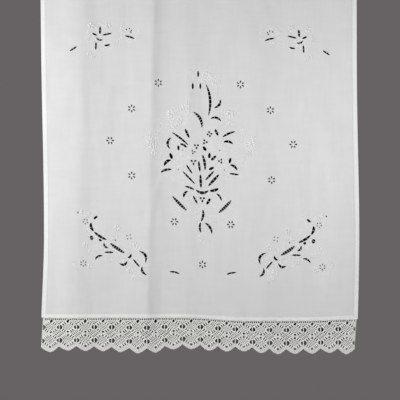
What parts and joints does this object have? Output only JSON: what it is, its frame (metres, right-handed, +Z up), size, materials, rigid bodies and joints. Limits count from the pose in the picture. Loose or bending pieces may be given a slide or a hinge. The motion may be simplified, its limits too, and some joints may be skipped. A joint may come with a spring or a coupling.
{
  "type": "rod pocket curtain with cut whitework and lace edging",
  "caption": "Flat hanging white cotton curtain with a rod pocket, cut-through embroidered flower sprays, turned hems and a scalloped lace edging.",
  "frame": {"origin": "middle of the curtain's top edge, on the crest of the rod pocket", "axes": "+Z up along the drop, +X across the width to the right as seen from the front, the embroidered front faces -Y"},
  "size_m": [0.8057, 0.026, 1.2041],
  "materials": {
    "batiste": "matt, thin plain weave",
    "pocket_batiste": "matt, thin plain weave",
    "lace": "matt cotton thread"
  },
  "bodies": {
    "root": {"panel": "batiste", "rod_pocket": "pocket_batiste", "lace_edging": "lace"}
  },
  "joints": []
}
